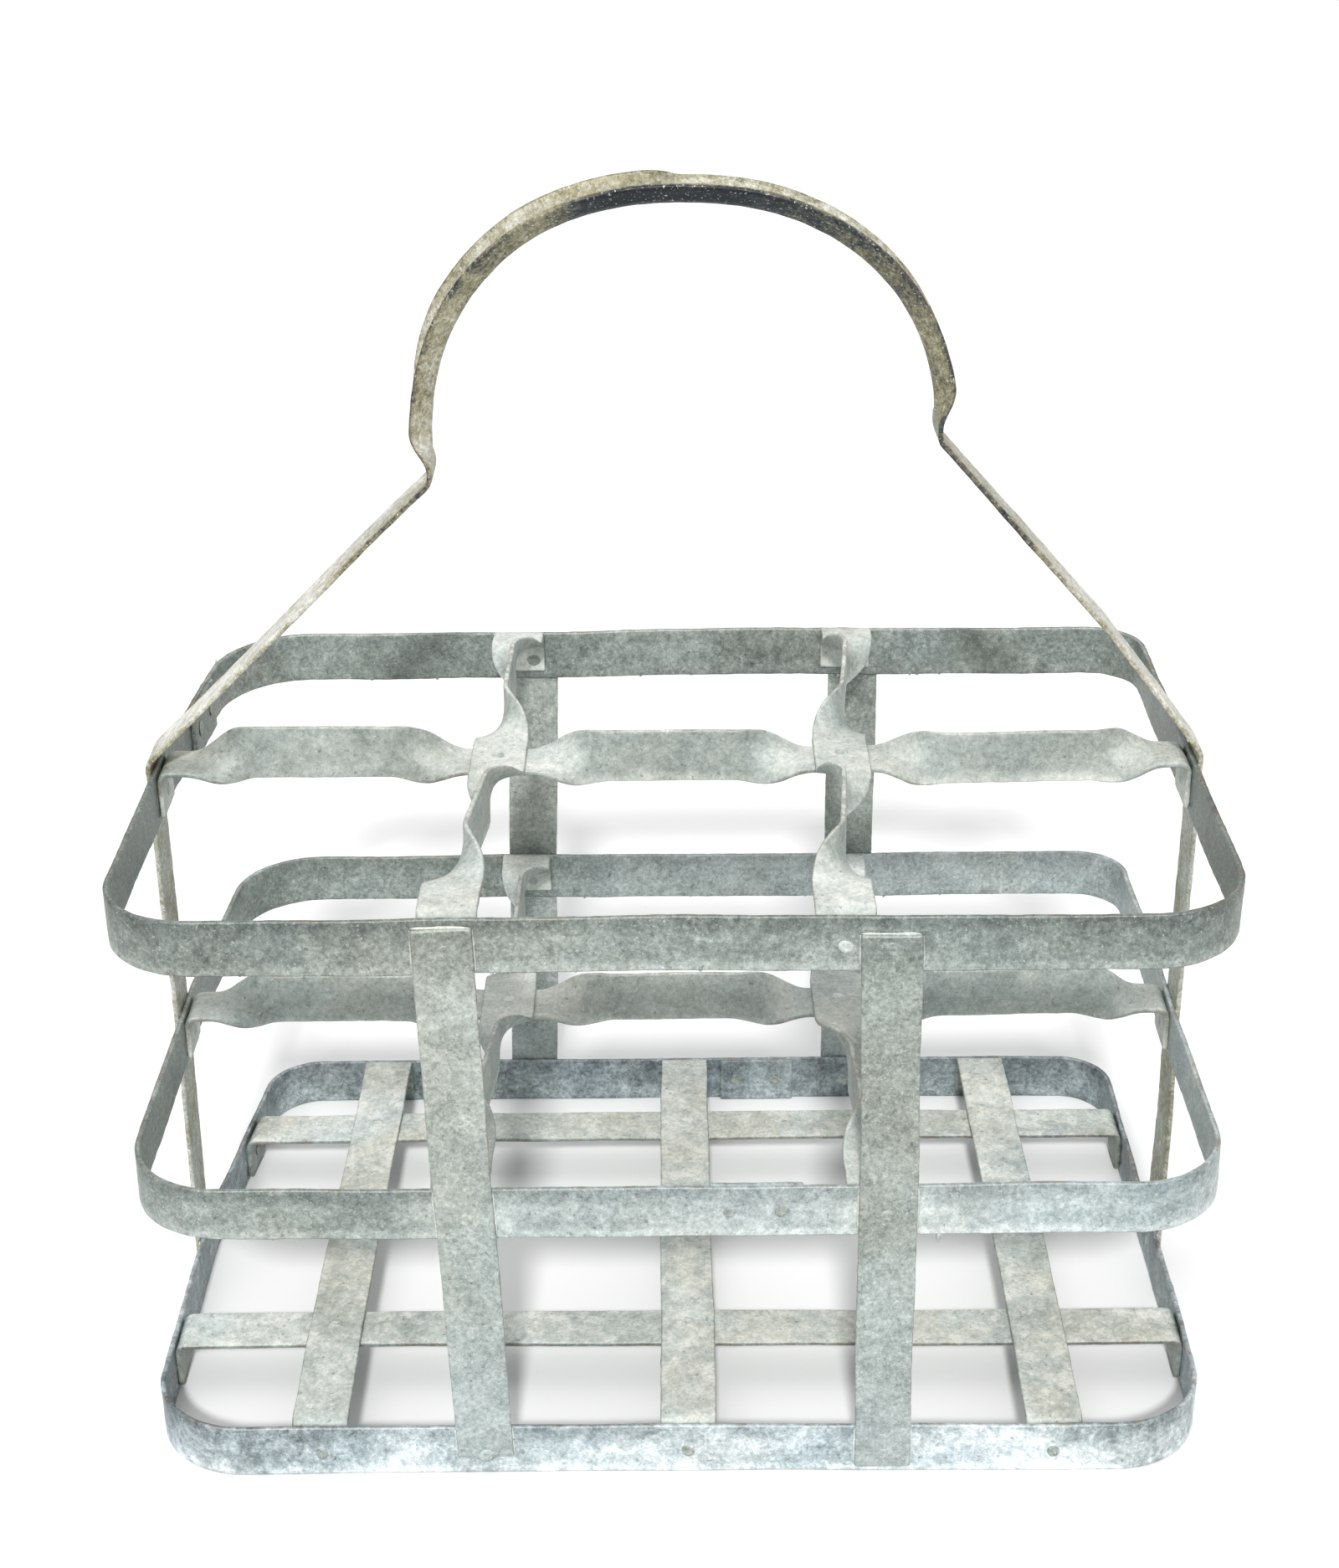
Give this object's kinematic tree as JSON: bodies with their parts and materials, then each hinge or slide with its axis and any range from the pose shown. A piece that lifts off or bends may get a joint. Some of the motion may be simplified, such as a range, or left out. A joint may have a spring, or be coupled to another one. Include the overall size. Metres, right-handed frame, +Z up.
{
  "type": "bottle crate",
  "caption": "Open bottle carrier of flat galvanised steel strip: three rounded hoops, straps, twisted dividers, a slatted base and a fixed arched carrying handle.",
  "frame": {"origin": "on the floor, under the middle of the crate", "axes": "+Z up, +X along the crate's long side and the handle, +Y from the front face to the back"},
  "size_m": [0.3104, 0.2056, 0.3525],
  "materials": {
    "hoop_zinc": "dull mottled hot-dip galvanising",
    "lower_hoop_zinc": "bluish, heavier hot-dip galvanising",
    "strap_zinc": "dull mottled hot-dip galvanising",
    "handle_zinc": "weathered olive-grey galvanising, worn dark under the hand",
    "divider_zinc": "pale mottled hot-dip galvanising",
    "base_zinc": "pale, stained hot-dip galvanising",
    "weld_zinc": "galvanised over"
  },
  "bodies": {
    "root": {"top_hoop": "hoop_zinc", "middle_hoop": "hoop_zinc", "bottom_hoop": "lower_hoop_zinc", "front_left_strap": "strap_zinc", "front_right_strap": "strap_zinc", "back_left_strap": "strap_zinc", "back_right_strap": "strap_zinc", "handle": "handle_zinc", "top_long_divider": "divider_zinc", "top_left_cross_divider": "divider_zinc", "top_right_cross_divider": "divider_zinc", "middle_long_divider": "divider_zinc", "middle_left_cross_divider": "divider_zinc", "middle_right_cross_divider": "divider_zinc", "base_front_long_strip": "base_zinc", "base_back_long_strip": "base_zinc", "base_left_cross_strip": "base_zinc", "base_centre_cross_strip": "base_zinc", "base_right_cross_strip": "base_zinc", "strap_welds": "weld_zinc", "handle_welds": "weld_zinc", "divider_tab_welds": "weld_zinc", "divider_crossing_welds": "weld_zinc", "base_tab_welds": "weld_zinc", "base_crossing_welds": "weld_zinc", "hoop_lap_welds": "weld_zinc"}
  },
  "joints": []
}
